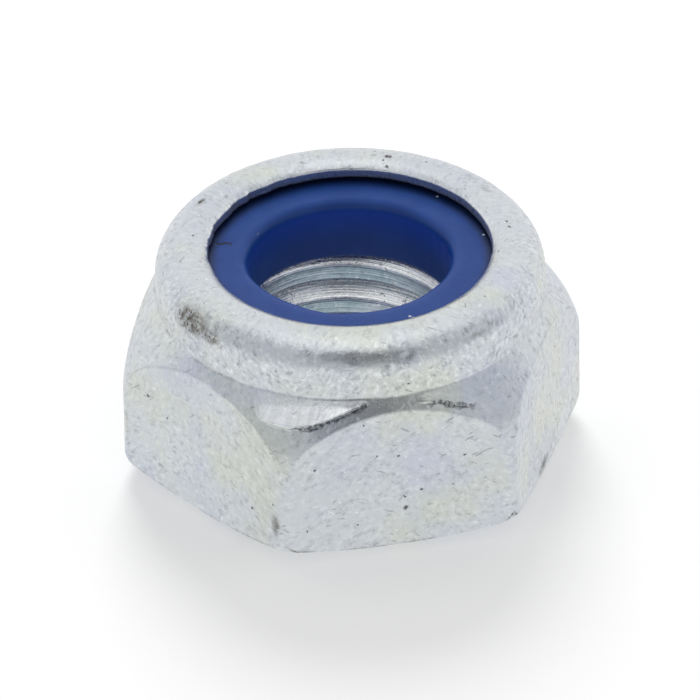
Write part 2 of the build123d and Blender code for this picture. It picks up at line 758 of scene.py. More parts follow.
    def _pits(self, tree: Wiring, where: Source) -> bpy.types.NodeSocket:
        """Small dark pinholes of uneven outline: scattered faint ones and the named ones.

        Args:
            tree: the tree under construction.
            where: the position in millimetres.

        Returns:
            1 in a pit and 0 elsewhere.
        """
        jitter = tree.add(
            "ShaderNodeTexNoise", {"Vector": where, "Scale": 14.0, "Detail": 1.0}
        ).outputs["Color"]
        centred = tree.vector("SUBTRACT", jitter, (0.5, 0.5, 0.5))
        bent = tree.vector("ADD", where, tree.scale(centred, self.pit_jitter))
        cells = tree.add("ShaderNodeTexVoronoi", {"Vector": bent, "Scale": self.pits_per_mm})
        chosen = tree.add("ShaderNodeSeparateColor", {0: cells.outputs["Color"]})
        radius = tree.map(chosen.outputs[0], 0.45, 1.0, 0.015, 0.075)
        hole = tree.math("LESS_THAN", cells.outputs["Distance"], radius)
        total = tree.math("MULTIPLY", hole, tree.math("GREATER_THAN", chosen.outputs[1], 0.62))
        for pit in self.pits:
            away = tree.away(bent, pit.place())
            named = tree.map(away, pit.size * 0.6, pit.size * 1.3, 1.0, 0.0)
            total = tree.math("MAXIMUM", total, named)
        return total

    def _dirt_and_shade(self, tree: Wiring, where: Source) -> bpy.types.NodeSocket:
        """Speckled darkening where the mesh's attribute says: dirt in the stains, darker bands
        along edges and painted shade on the lip's inner face.

        Args:
            tree: the tree under construction.
            where: the position in millimetres.

        Returns:
            How far the darkening covers the plate, from 0 to 1.
        """
        speckle = tree.map(tree.noise(where, 12.0, 3.0, 0.7), 0.42, 0.62)
        film = tree.map(tree.noise(where, 5.0, 2.0), 0.35, 0.65, 0.25, 0.75)
        covered = tree.math("MAXIMUM", film, speckle)
        amount = tree.map(tree.attribute("dirt_and_shade"), 0.0, 1.0)
        return tree.math("MULTIPLY", covered, amount, clamp=True)

    def _fold_shades(self, tree: Wiring, where: Source) -> bpy.types.NodeSocket:
        """The painted shade under the creases' overhang: dark lines, broken and of uneven width.

        Args:
            tree: the tree under construction.
            where: the position in millimetres.

        Returns:
            How dark the crease is, from 0 to 1.
        """
        broken = tree.map(tree.noise(where, 11.0, 4.0, 0.75), 0.38, 0.62, 0.30, 1.0)
        uneven = tree.map(tree.noise(where, 3.0, 2.0), 0.35, 0.65, 0.55, 0.05)
        line = tree.math("SUBTRACT", tree.attribute("fold_shade"), uneven)
        line = tree.math("SMOOTH_MIN", line, 0.5, 0.2)
        return tree.math("MULTIPLY", tree.map(line, 0.0, 0.42), broken)

    def _grooves(self, tree: Wiring, rub_and_highlight_share: Source) -> bpy.types.NodeSocket:
        """The dark lines between the turning marks on the thread's flanks.

        Args:
            tree: the tree under construction.
            rub_and_highlight_share: where the flanks carry the painted highlight.

        Returns:
            How dark the line is, from 0 to 1.
        """
        turns = tree.math("MULTIPLY", tree.attribute("tool_line"), self.grooves_per_mm * math.pi)
        wave = tree.math("ABSOLUTE", tree.math("SINE", turns))
        dark = tree.map(wave, 0.0, 0.32, self.groove_strength, 0.0)
        return tree.math("MULTIPLY", dark, rub_and_highlight_share)

    def _tool_lines(self, tree: Wiring) -> bpy.types.NodeSocket:
        """The relief of the fine lines that the tap leaves along the thread.

        Args:
            tree: the tree under construction.

        Returns:
            The height to add to the plate's own.
        """
        inputs = {
            "W": tree.attribute("tool_line"),
            "Scale": self.tool_lines_per_mm,
            "Detail": 1.0,
        }
        lines = tree.add("ShaderNodeTexNoise", inputs, noise_dimensions="1D")
        return tree.math("MULTIPLY", lines.outputs[0], self.tool_line_relief)


@dataclass(frozen=True)
class BlueNylon:
    """Moulded blue nylon: satin, faintly mottled, with turning marks and a few specks, a painted
    glow on the bore's wall and painted shade under the lip.
    """

    name: str = "blue_nylon_moulded"
    tone: tuple = colour(0.002, 0.042, 0.235)
    worn_tone: tuple = colour(0.004, 0.052, 0.265)
    painted_glow_tone: tuple = colour(0.001, 0.042, 0.37)
    painted_lip_shade_tone: tuple = colour(0.003, 0.007, 0.030)
    speck_tone: tuple = colour(0.55, 0.6, 0.7)
    scratch_tone: tuple = colour(0.004, 0.006, 0.02)
    roughness: float = 0.42
    grain_roughness: float = 0.20
    grain_height: float = 0.003
    refraction: float = 1.40
    painted_glow_strength: float = 0.8
    painted_lip_shade_strength: float = 0.9
    scratch_relief: float = 5.0
    scratch: tuple[Spot, ...] = (
        Spot(153.0, 3.365, 5.38, 0.016),
        Spot(154.0, 3.330, 5.38, 0.021),
        Spot(154.3, 3.290, 5.38, 0.026),
        Spot(154.2, 3.250, 5.38, 0.029),
        Spot(153.8, 3.210, 5.38, 0.031),
        Spot(153.3, 3.170, 5.38, 0.031),
        Spot(152.9, 3.130, 5.38, 0.028),
        Spot(152.9, 3.090, 5.38, 0.025),
        Spot(153.1, 3.050, 5.38, 0.023),
        Spot(153.2, 3.010, 5.38, 0.022),
        Spot(152.0, 2.980, 5.38, 0.014),
        Spot(154.6, 2.985, 5.38, 0.013),
    )
    specks: tuple[Spot, ...] = (
        Spot(-73.6, 2.93, 5.38, 0.028),
        Spot(-72.8, 3.01, 5.38, 0.018),
        Spot(38.7, 3.46, 5.38, 0.024),
        Spot(3.7, 3.40, 5.38, 0.024),
        Spot(138.6, 2.57, 5.31, 0.008),
        Spot(137.6, 2.57, 5.31, 0.010),
        Spot(136.6, 2.57, 5.31, 0.008),
    )

    def make(self) -> bpy.types.Material:
        """Build the material.

        Returns:
            The finished material.
        """
        material = bpy.data.materials.new(self.name)
        material.use_nodes = True
        tree = Wiring(material.node_tree)
        where = tree.millimetres()
        grain = tree.noise(where, 9.0, 4.0, 0.6)
        scratch = self._spots(tree, where, self.scratch)
        tone = self._tone(tree, where)
        tone = tree.mix(self._spots(tree, where, self.specks), tone, self.speck_tone)
        tone = tree.mix(scratch, tone, self.scratch_tone)
        flattened = tree.add("ShaderNodeMapping", {"Vector": where, "Scale": (0.25, 0.25, 9.0)})
        rings = tree.noise(flattened.outputs[0], 1.0, 3.0)
        height = tree.math("MULTIPLY_ADD", rings, 2.5, grain)
        cut = tree.math("MULTIPLY", scratch, self.scratch_relief)
        height = tree.math("SUBTRACT", height, cut)
        bump = tree.add(
            "ShaderNodeBump",
            {"Strength": 0.8, "Distance": self.grain_height * MM, "Height": height},
        )
        rough = self.roughness - self.grain_roughness / 2.0
        shader = material.node_tree.nodes["Principled BSDF"]
        tree.feed(shader.inputs["Base Color"], tone)
        tree.feed(
            shader.inputs["Roughness"],
            tree.math("MULTIPLY_ADD", grain, self.grain_roughness, rough),
        )
        tree.feed(shader.inputs["IOR"], self.refraction)
        tree.feed(shader.inputs["Normal"], bump.outputs[0])
        return material

    def _tone(self, tree: Wiring, where: Source) -> bpy.types.NodeSocket:
        """The nylon's blue, with a painted glow of light on the upper part of the bore's wall.

        Args:
            tree: the tree under construction.
            where: the position in millimetres.

        Returns:
            The colour, with painted shade under the lip.
        """
        cloud = tree.noise(where, 1.1, 3.0)
        tone = tree.mix(tree.map(cloud, 0.35, 0.7), self.tone, self.worn_tone)
        spot = tree.add("ShaderNodeSeparateXYZ", {0: where}).outputs
        square = tree.math("MULTIPLY_ADD", spot["X"], spot["X"], tree.math("POWER", spot["Y"], 2.0))
        radius = tree.math("SQRT", square)
        # Painted light: the upper bore wall is brightened as if lit through the nylon.
        wall = tree.math("MULTIPLY", tree.map(spot["Z"], 4.2, 5.1), tree.map(radius, 2.56, 2.49))
        wall = tree.math("MULTIPLY", wall, tree.map(spot["Z"], 5.24, 5.10))
        share = tree.math("MULTIPLY", wall, self.painted_glow_strength)
        tone = tree.mix(share, tone, self.painted_glow_tone)
        # Painted shade: darker towards the lip, where its overhang shades the ring.
        painted_lip_shade = tree.map(radius, 3.16, 3.50, 0.0, self.painted_lip_shade_strength)
        return tree.mix(painted_lip_shade, tone, self.painted_lip_shade_tone)

    @staticmethod
    def _spots(tree: Wiring, where: Source, spots: tuple[Spot, ...]) -> bpy.types.NodeSocket:
        """A set of small round spots.

        Args:
            tree: the tree under construction.
            where: the position in millimetres.
            spots: the spots' places and sizes.

        Returns:
            1 within the spots and 0 elsewhere.
        """
        total: Source = 0.0
        for spot in spots:
            away = tree.away(where, spot.place())
            near = tree.map(away, spot.size, spot.size * 1.8, 1.0, 0.0)
            total = tree.math("MAXIMUM", total, near)
        return total


# ---- Steel body ------------------------------------------------------------------------------


@dataclass(frozen=True)
class Dent:
    """A small dent at one place of the outside."""

    azimuth: float
    radius: float
    height: float
    width: float
    depth: float


@dataclass(frozen=True)
class Stain:
    """A patch of dirt at one place of the outside."""

    azimuth: float
    radius: float
    height: float
    wide: float
    high: float
    strength: float


@dataclass(frozen=True)
class EdgeDarkening:
    """A darker band along one edge, broken into patches."""

    strength: float
    width: float
    patch_size: float
    patch_low: float
    patch_high: float

    def amount(
        self, distance: np.ndarray, positions: np.ndarray, noise: ValueNoise
    ) -> np.ndarray:
        """How dark each point is.

        Args:
            distance: the distance from the edge to each point.
            positions: the points.
            noise: what breaks the band into patches.

        Returns:
            One value for each point.
        """
        level = noise.at(positions, self.patch_size)
        patches = smooth_step(level, self.patch_low, self.patch_high)
        return self.strength * patches * bell(distance, self.width)


@dataclass(frozen=True)
class Crease:
    """A lap in the shoulder: metal that swells outwards above an edge, with a painted highlight on
    rubbed metal above it and painted shade along the edge.
    """

    line: tuple[tuple[float, float], ...]
    swell: float
    rub_and_highlight: float
    dark_from: float
    dark_width: float = 0.08
    dark_below: float = 0.03
    end_fade: float = 3.0
    step_half: float = 0.05

    def height(self, azimuths: np.ndarray) -> np.ndarray:
        """The height of the crease's edge in each direction."""
        angles, heights = np.array(self.line).T
        return np.interp(angle_from(azimuths, 0.0), angles, heights)

    def share(self, azimuths: np.ndarray) -> np.ndarray:
        """How fully the crease shows.

        Args:
            azimuths: the columns' azimuths.

        Returns:
            1 along the crease, falling to 0 at its two ends.
        """
        at = angle_from(azimuths, 0.0)
        first, last = self.line[0][0], self.line[-1][0]
        starting = smooth_step(at, first, first + self.end_fade)
        return starting * smooth_step(-at, -last, -last + self.end_fade)


@dataclass
class SteelBody:
    """The hexagon, its shoulder and the collar that is rolled over the ring."""

    sizes: FrameSizes
    bearing_radius: float = 4.15
    foot_chamfer_height: float = 0.45
    foot_edge_radius: float = 0.25
    shoulder_angle: float = 54.0
    shoulder_blend_radius: float = 2.3
    collar_radius: float = 4.77
    collar_height: float = 1.46
    collar_root_radius: float = 0.12
    collar_roll_radius: float = 0.86
    lip_radius: float = 3.47
    lip_edge_drop: float = 0.20
    lip_edge_thickness: float = 0.14
    lip_droop: float = 0.08
    pocket_radius: float = 4.10
    pocket_roll_height: float = 0.60
    bore_radius: float = 3.25
    edge_rounding: float = 0.07
    corner_softness: float = 0.03
    middle_height: float = 0.45
    torn_azimuth: float = 130.0
    torn_half_angle: float = 38.0
    torn_depth: float = 0.034
    unevenness: tuple[tuple[float, float], ...] = ((1.6, 0.007), (0.45, 0.004))
    hammered_size: float = 0.2
    hammered_depth: float = 0.0015
    hammered_collar_depth: float = 0.004
    lip_face_shade: float = 0.3
    lip_edge_highlight: float = 0.6
    scratched_azimuth: float = -30.0
    scratched_elsewhere: float = 0.12
    root_darkening: EdgeDarkening = EdgeDarkening(0.5, 0.05, 0.7, 0.1, 0.6)
    foot_darkening: EdgeDarkening = EdgeDarkening(0.75, 0.06, 0.6, -0.25, 0.35)
    arc_dirt: EdgeDarkening = EdgeDarkening(0.34, 0.05, 0.6, -0.1, 0.5)
    noise: ValueNoise = field(default_factory=lambda: ValueNoise(7))
    creases: tuple[Crease, ...] = (
        Crease(
            line=(
                (-132.0, 4.30),
                (-130.0, 4.02),
                (-128.4, 3.88),
                (-123.8, 3.83),
                (-119.8, 3.81),
                (-114.3, 3.88),
                (-108.8, 4.06),
                (-103.3, 4.24),
                (-97.5, 4.38),
            ),
            swell=0.14,
            rub_and_highlight=1.0,
            dark_from=-121.0,
        ),
        Crease(
            line=((-84.5, 4.27), (-82.3, 4.23), (-77.8, 4.20), (-73.8, 4.05), (-67.0, 3.86)),
            swell=0.05,
            rub_and_highlight=0.0,
            dark_from=-84.5,
        ),
    )
    dents: tuple[Dent, ...] = (
        Dent(-47.3, 4.39, 5.75, 0.35, 0.030),
        Dent(-40.0, 4.60, 5.55, 0.22, 0.025),
        Dent(15.0, 4.20, 5.85, 0.30, 0.030),
        Dent(66.0, 3.90, 5.89, 0.20, 0.030),
        Dent(-152.0, 4.55, 5.62, 0.30, 0.025),
        Dent(-86.0, 4.65, 5.47, 0.18, 0.030),
        Dent(-102.0, 4.62, 5.50, 0.25, 0.020),
        Dent(-170.0, 4.05, 5.88, 0.30, 0.025),
        Dent(-121.5, 5.60, 1.15, 0.22, 0.040),
        Dent(-89.6, 5.00, 3.60, 0.45, 0.012),
        Dent(-35.0, 5.00, 0.50, 0.25, 0.030),
        Dent(-58.8, 5.70, 0.80, 0.25, 0.040),
        Dent(-178.0, 5.66, 3.05, 0.30, 0.030),
        Dent(-14.0, 5.15, 3.90, 0.35, 0.030),
        Dent(100.0, 4.62, 5.55, 0.35, 0.030),
        Dent(61.0, 5.68, 1.60, 0.30, 0.040),
        Dent(119.0, 5.68, 2.60, 0.26, 0.040),
        Dent(30.0, 5.00, 1.20, 0.35, 0.020),
    )
    stains: tuple[Stain, ...] = (
        Stain(-159.0, 4.70, 5.37, 0.60, 0.30, 1.25),
        Stain(-148.5, 4.72, 5.31, 0.24, 0.16, 0.80),
        Stain(139.6, 4.10, 5.875, 0.20, 0.09, 0.85),
        Stain(124.9, 4.03, 5.89, 0.13, 0.08, 0.45),
        Stain(62.7, 3.87, 5.895, 0.10, 0.05, 1.00),
        Stain(68.0, 3.89, 5.895, 0.07, 0.05, 0.70),
        Stain(30.7, 4.11, 5.87, 0.22, 0.14, 0.40),
        Stain(22.1, 4.02, 5.89, 0.24, 0.14, 0.45),
        Stain(-101.8, 4.62, 5.52, 0.40, 0.09, 0.75),
        Stain(-86.0, 4.66, 5.44, 0.12, 0.07, 0.80),
        Stain(-122.6, 5.62, 1.14, 0.11, 0.30, 0.95),
        Stain(-101.0, 4.86, 4.31, 0.42, 0.10, 0.85),
        Stain(-35.0, 5.02, 0.53, 0.42, 0.11, 1.10),
        Stain(-61.0, 4.66, 5.45, 0.40, 0.10, 0.45),
        Stain(-89.6, 5.00, 3.65, 0.45, 0.22, 0.16),
        Stain(-172.0, 5.05, 0.50, 0.50, 0.06, 0.40),
        Stain(-105.0, 5.15, 0.50, 0.90, 0.05, 0.30),
        Stain(-178.5, 5.68, 1.60, 0.08, 0.60, 0.35),
        Stain(80.0, 4.72, 5.36, 0.40, 0.16, 0.50),
        Stain(35.0, 5.05, 3.40, 0.30, 0.20, 0.35),
        Stain(118.6, 5.66, 2.10, 0.10, 0.50, 0.40),
    )

    def azimuths(self) -> np.ndarray:
        """Choose the columns.

        Returns:
            Their azimuths in degrees, which crowd at the hexagon's corners.
        """
        half = np.concatenate(
            [
                np.array([0.0, 0.45, 0.85, 1.0, 1.15, 1.35, 1.6, 1.9, 2.3, 2.8, 3.4, 4.2, 5.0]),
                np.linspace(5.8, 30.0, 30),
            ]
        )
        sector = np.concatenate([half, 60.0 - half[-2:0:-1]])
        return np.concatenate([sector + 60.0 * corner for corner in range(HEXAGON_CORNERS)])

    def flat_radius(self, azimuths: np.ndarray) -> np.ndarray:
        """How far the hexagon's side lies from the axis in each direction.

        Args:
            azimuths: the directions in degrees.

        Returns:
            The radii, kept inside the turned corners.
        """
        from_middle = (azimuths % 60.0) - 30.0
        flat = self.sizes.across_flats / 2.0 / np.cos(np.radians(from_middle))
        return smooth_min(flat, self.sizes.corner_radius, self.corner_softness)

    def outside(self) -> np.ndarray:
        """Draw the turned outside from the bearing face up to the start of the roll.

        Returns:
            The points of the path, as radius and height.
        """
        base = self.sizes.nut_height - self.collar_height
        rise = (self.sizes.corner_radius - self.collar_radius) * math.tan(
            math.radians(self.shoulder_angle)
        )
        return rounded_path(
            [
                (self.bearing_radius, 0.0),
                (self.sizes.corner_radius, self.foot_chamfer_height),
                (self.sizes.corner_radius, base - rise),
                (self.collar_radius, base),
                (self.collar_radius, self.sizes.nut_height - self.collar_roll_radius),
            ],
            [self.foot_edge_radius, self.shoulder_blend_radius, self.collar_root_radius],
        )

    def _crossings(self, path: np.ndarray, radii: np.ndarray) -> tuple[np.ndarray, np.ndarray]:
        """Where the turned outside leaves and meets the hexagon's sides.

        Args:
            path: the turned outside.
            radii: the hexagon's radius for each column.

        Returns:
            For each column, the two distances along the path.
        """
        lengths = path_lengths(path)
        widest = int(path[:, 0].argmax())
        crest = np.flatnonzero(path[:, 0] > path[widest, 0] - 1e-4)
        foot = slice(0, crest[0] + 1)
        top = slice(crest[-1], None)
        low = np.interp(radii, path[foot, 0], lengths[foot])
        high = np.interp(-radii, -path[top, 0], lengths[top])
        return low, high

    def _side_rows(self, azimuths: np.ndarray) -> np.ndarray:
        """Rows from the bearing face to the collar's root, edges rounded.

        Args:
            azimuths: the columns' azimuths.

        Returns:
            Radius and height for each row and column.
        """
        path = self.outside()
        total = path_lengths(path)[-1]
        radii = self.flat_radius(azimuths)
        low, high = self._crossings(path, radii)
        reach = self.edge_rounding
        up = np.array([0.0, reach])
        root = total - (self.collar_height - self.collar_roll_radius) - self.collar_root_radius
        foot = along(path, np.linspace(0.0, 1.0, 12)[:, None] * (low - reach))
        foot_corner = np.stack([radii, along(path, low)[..., 1]], axis=-1)
        top_corner = np.stack([radii, along(path, high)[..., 1]], axis=-1)
        shares = np.linspace(0.0, 1.0, 7)[1:-1, None, None]
        foot_edge = self._bend(foot[-1], foot_corner, foot_corner + up, shares)
        start = np.minimum(high + reach, root)
        top_edge = self._bend(top_corner - up, top_corner, along(path, start), shares)
        shares = np.linspace(0.0, 1.0, 26)[:, None, None]
        side = (foot_corner + up) * (1.0 - shares) + (top_corner - up) * shares
        shoulder = along(path, start + np.linspace(0.0, 1.0, 42)[:, None] * (root - start))
        root_rows = along(
            path, np.linspace(root, total, 22)[1:, None] * np.ones_like(azimuths)
        )
        return np.concatenate([foot, foot_edge, side, top_edge, shoulder, root_rows])

    @staticmethod
    def _bend(
        start: np.ndarray, corner: np.ndarray, end: np.ndarray, shares: np.ndarray
    ) -> np.ndarray:
        """Points on the curve that rounds a corner.

        Args:
            start: where the curve leaves the first side.
            corner: the sharp corner.
            end: where the curve meets the second side.
            shares: how far along the curve the points lie, from 0 to 1.

        Returns:
            The points.
        """
        before = (1.0 - shares) ** 2 * start
        return before + 2.0 * shares * (1.0 - shares) * corner + shares**2 * end

    def _turned_rows(self, azimuths: np.ndarray) -> np.ndarray:
        """Rows over the roll, round the lip, down the pocket and back under the foot.

        Args:
            azimuths: the columns' azimuths.

        Returns:
            Radius and height for each row and column.
        """
        top = self.sizes.nut_height
        crest = (self.collar_radius - self.collar_roll_radius, top)
        roll_start = (self.collar_radius, top - self.collar_roll_radius)
        lip_top = (self.lip_radius, top - self.lip_edge_drop)
        underside = top - self.lip_edge_drop - self.lip_edge_thickness
        inner_start = (self.pocket_radius, underside - self.pocket_roll_height)
        inner_end = (self.lip_radius + self.lip_droop, underside)
        inner_roll = tangent_arc(inner_start, inner_end, (0.0, 1.0))
        floor = self.sizes.ring_floor
        parts = [
            even_rows(tangent_arc(roll_start, crest, (0.0, 1.0)), 30)[1:],
            even_rows(tangent_arc(crest, lip_top, (-1.0, 0.0)), 12)[1:],
            even_rows(np.array([lip_top, (self.lip_radius, underside - self.lip_droop)]), 7)[1:],
            even_rows(inner_roll[::-1], 9),
            even_rows(np.array([inner_start, (self.pocket_radius, floor)]), 4)[1:],
            np.array([(self.bore_radius, floor)]),
            even_rows(np.array([(self.bore_radius, 0.0), (self.bearing_radius, 0.0)]), 5)[:-1],
        ]
        rows = np.concatenate(parts)
        return np.repeat(rows[:, None, :], len(azimuths), axis=1)

    def build(self) -> bpy.types.Object:
        """Make the body's mesh with its bruises, its dirt and its painted light and shade.

        Returns:
            The finished object.
        """
        azimuths = self.azimuths()
        rings = np.concatenate([self._side_rows(azimuths), self._turned_rows(azimuths)])
        rings = self._lap_shoulder(rings, azimuths)
        rings = self._tear_lip(rings, azimuths)
        positions = in_space(azimuths, rings)
        positions = self._waver(positions, rings)
        positions = self._dent(positions)
        return closed_ring_mesh(
            "steel_body",
            positions,
            {
                "dirt_and_shade": self._dirt_and_shade(azimuths, rings, positions),
                "rub_and_highlight": self._rubs_and_highlights(azimuths, rings),
                "fold_shade": self._fold_shades(azimuths, rings),
                "upright": self._upright(azimuths, rings),
                "skin": self._skin(azimuths, rings),
                "tumbled": smooth_step(rings[..., 1], 4.35, 4.7)
                - 1.2 * smooth_step(rings[..., 1], 5.66, 5.84),
            },
        )

    def _lap_shoulder(self, rings: np.ndarray, azimuths: np.ndarray) -> np.ndarray:
        """Swell the shoulder above each crease and end the swelling in a step.

        Args:
            rings: radius and height for each row and column.
            azimuths: the columns' azimuths.

        Returns:
            The changed rows.
        """
        base = self.sizes.nut_height - self.collar_height
        rings = rings.copy()
        outside = rings[..., 0] > self.collar_radius - 0.01
        for crease in self.creases:
            line = crease.height(azimuths)
            half = crease.step_half
            above = smooth_step(rings[..., 1], line - half, line + half)
            room = np.maximum(base - line, half)
            slope = np.clip((base - rings[..., 1]) / room, 0.0, 1.0)
            swell = crease.swell * crease.share(azimuths) * above * slope
            rings[..., 0] += np.where(outside, swell, 0.0)
        return rings

    def _tear_lip(self, rings: np.ndarray, azimuths: np.ndarray) -> np.ndarray:
        """Make the lip's edge slightly ragged, most of all at the back left.

        Args:
            rings: radius and height for each row and column.
            azimuths: the columns' azimuths.

        Returns:
            The changed rows.
        """
        rings = rings.copy()
        turn = np.radians(azimuths)
        circle = np.stack([np.cos(turn), np.sin(turn), np.zeros_like(turn)], -1)
        circle *= self.lip_radius
        ragged = self.noise.at(circle, 0.12) * 0.6 + self.noise.at(circle, 0.45)
        torn = 0.25 + bell(angle_from(azimuths, self.torn_azimuth), self.torn_half_angle)
        near = bell(rings[..., 0] - self.lip_radius, 0.12)
        near = near * (rings[..., 1] > self.sizes.nut_height - 0.45)
        rings[..., 0] += near * ragged * torn * self.torn_depth
        return rings

    def _waver(self, positions: np.ndarray, rings: np.ndarray) -> np.ndarray:
        """Give the outside the slight unevenness of a tumbled part, kept inside its sizes.

        Args:
            positions: positions for each row and column.
            rings: their radii and heights.

        Returns:
            The changed positions.
        """
        outside = (rings[..., 0] > self.lip_radius + 0.1) & (rings[..., 1] > 0.02)
        outside &= ~((rings[..., 0] <= self.pocket_radius) & (rings[..., 1] < 5.5))
        collar = smooth_step(rings[..., 1], 4.3, 4.6)
        hammered = self.hammered_depth + self.hammered_collar_depth * collar
        inward = (1.0 + self.noise.at(positions, self.hammered_size)) * hammered
        for size, depth in self.unevenness:
            inward += (1.0 + self.noise.at(positions, size)) * depth
        return positions - self._away(positions) * np.where(outside, inward, 0.0)[..., None]

    def _dent(self, positions: np.ndarray) -> np.ndarray:
        """Press the dents in.

        Args:
            positions: positions for each row and column.

        Returns:
            The changed positions.
        """
        total = np.zeros(positions.shape[:2])
        for dent in self.dents:
            place = in_space(np.array(dent.azimuth), np.array([dent.radius, dent.height]))
            distance = np.linalg.norm(positions - place, axis=-1)
            total += dent.depth * bell(distance, dent.width / 2.0)
        return positions - self._away(positions) * total[..., None]

    def _away(self, positions: np.ndarray) -> np.ndarray:
        """The direction from the nut's middle to each point."""
        away = positions - np.array([0.0, 0.0, self.sizes.nut_height * self.middle_height])
        return away / np.linalg.norm(away, axis=-1, keepdims=True)

    def _dirt_and_shade(
        self, azimuths: np.ndarray, rings: np.ndarray, positions: np.ndarray
    ) -> np.ndarray:
        """How dark each point is: dirt in the stains, darker bands along three edges, and painted
        shade on the lip's inner face.

        Args:
            azimuths: the columns' azimuths.
            rings: radius and height for each row and column.
            positions: their positions.

        Returns:
            Values from 0 to 1.
        """
        total = np.zeros(rings.shape[:2])
        for stain in self.stains:
            place = in_space(np.array(stain.azimuth), np.array([stain.radius, stain.height]))
            across = angle_from(azimuths, stain.azimuth) * math.radians(stain.radius)
            upward = np.hypot(rings[..., 0] - stain.radius, rings[..., 1] - stain.height)
            near = np.linalg.norm(positions - place, axis=-1) < 3.0
            amount = bell(across, stain.wide) * bell(upward, stain.high)
            total += stain.strength * amount * near
        base = self.sizes.nut_height - self.collar_height
        path, radii = self.outside(), self.flat_radius(azimuths)
        low, high = (along(path, at)[..., 1] for at in self._crossings(path, radii))
        # Darker bands along the collar's root, the bearing face's edge and the hexagon's arcs.
        for dirt, radius, height in (
            (self.root_darkening, self.collar_radius, base),
            (self.foot_darkening, radii, low),
            (self.arc_dirt, radii, high),
        ):
            distance = np.hypot(rings[..., 0] - radius, rings[..., 1] - height)
            total += dirt.amount(distance, positions, self.noise)
        # Painted shade on the lip's inner face, in the recess under the lip.
        inside = (rings[..., 0] < self.pocket_radius - 0.02) & (rings[..., 1] > 5.0)
        inside &= rings[..., 1] < self.sizes.nut_height - self.lip_edge_drop - 0.01
        return np.clip(total + self.lip_face_shade * inside, 0.0, 1.0)

    def _fold_shades(self, azimuths: np.ndarray, rings: np.ndarray) -> np.ndarray:
        """How dark each point is along the creases: painted shade under their overhang.

        Args:
            azimuths: the columns' azimuths.
            rings: radius and height for each row and column.

        Returns:
            Values from 0 to 1.
        """
        total = np.zeros(rings.shape[:2])
        outside = rings[..., 0] > self.collar_radius + 0.02
        for crease in self.creases:
            below = crease.height(azimuths) - rings[..., 1]
            dark = bell(below - crease.dark_below, crease.dark_width)
            start = smooth_step(angle_from(azimuths, crease.dark_from), 0.0, 5.0)
            total += dark * start * crease.share(azimuths) * outside
        return np.clip(total, 0.0, 1.0)

    def _rubs_and_highlights(self, azimuths: np.ndarray, rings: np.ndarray) -> np.ndarray:
        """How bright each point is painted: rubbed metal with a painted highlight above the
        creases, and a painted highlight at the lip's edge.

        Args:
            azimuths: the columns' azimuths.
            rings: radius and height for each row and column.

        Returns:
            Values from 0 to 1.
        """
        total = np.zeros(rings.shape[:2])
        base = self.sizes.nut_height - self.collar_height
        outside = rings[..., 0] > self.collar_radius + 0.02
        brim = base - 0.08 - 0.12 * smooth_step(-angle_from(azimuths, 0.0), 115.0, 130.0)
        below = smooth_step(-rings[..., 1], -brim, -brim + 0.11)
        for crease in self.creases:
            line = crease.height(azimuths)
            above = smooth_step(rings[..., 1], line, line + crease.step_half)
            ends = smooth_step(-angle_from(azimuths, crease.line[-1][0]), 2.0, 7.0)
            ends = ends * smooth_step(angle_from(azimuths, crease.line[0][0]), 0.5, 6.5)
            total += crease.rub_and_highlight * above * below * outside * ends
        top = self.sizes.nut_height - self.lip_edge_drop
        # A painted highlight along the lip's edge.
        edge = np.hypot(rings[..., 0] - self.lip_radius, rings[..., 1] - top)
        return np.clip(total + self.lip_edge_highlight * bell(edge, 0.05), 0.0, 1.0)

    def _skin(self, azimuths: np.ndarray, rings: np.ndarray) -> np.ndarray:
        """Each point's place on the unrolled section, wound round a cylinder.

        Args:
            azimuths: the columns' azimuths.
            rings: radius and height for each row and column.

        Returns:
            Positions on the cylinder, without a seam.
        """
        steps = np.linalg.norm(np.diff(rings, axis=0), axis=-1)
        upward = np.concatenate([np.zeros((1, len(azimuths))), np.cumsum(steps, axis=0)])
        radii = np.full_like(upward, self.collar_radius)
        return in_space(azimuths, np.stack([radii, upward], axis=-1))

    def _upright(self, azimuths: np.ndarray, rings: np.ndarray) -> np.ndarray:
        """Where the scratches stand upright: most on one side, a little elsewhere.

        Args:
            azimuths: the columns' azimuths.
            rings: radius and height for each row and column.

        Returns:
            Values from 0 to 1.
        """
        off = np.abs(angle_from(azimuths, self.scratched_azimuth))
        side = smooth_step(-off, -31.0, -27.0)
        low = smooth_step(-rings[..., 1], -4.5, -4.2)
        return np.clip(self.scratched_elsewhere + side * low, 0.0, 1.0)


# ---- Thread ----------------------------------------------------------------------------------


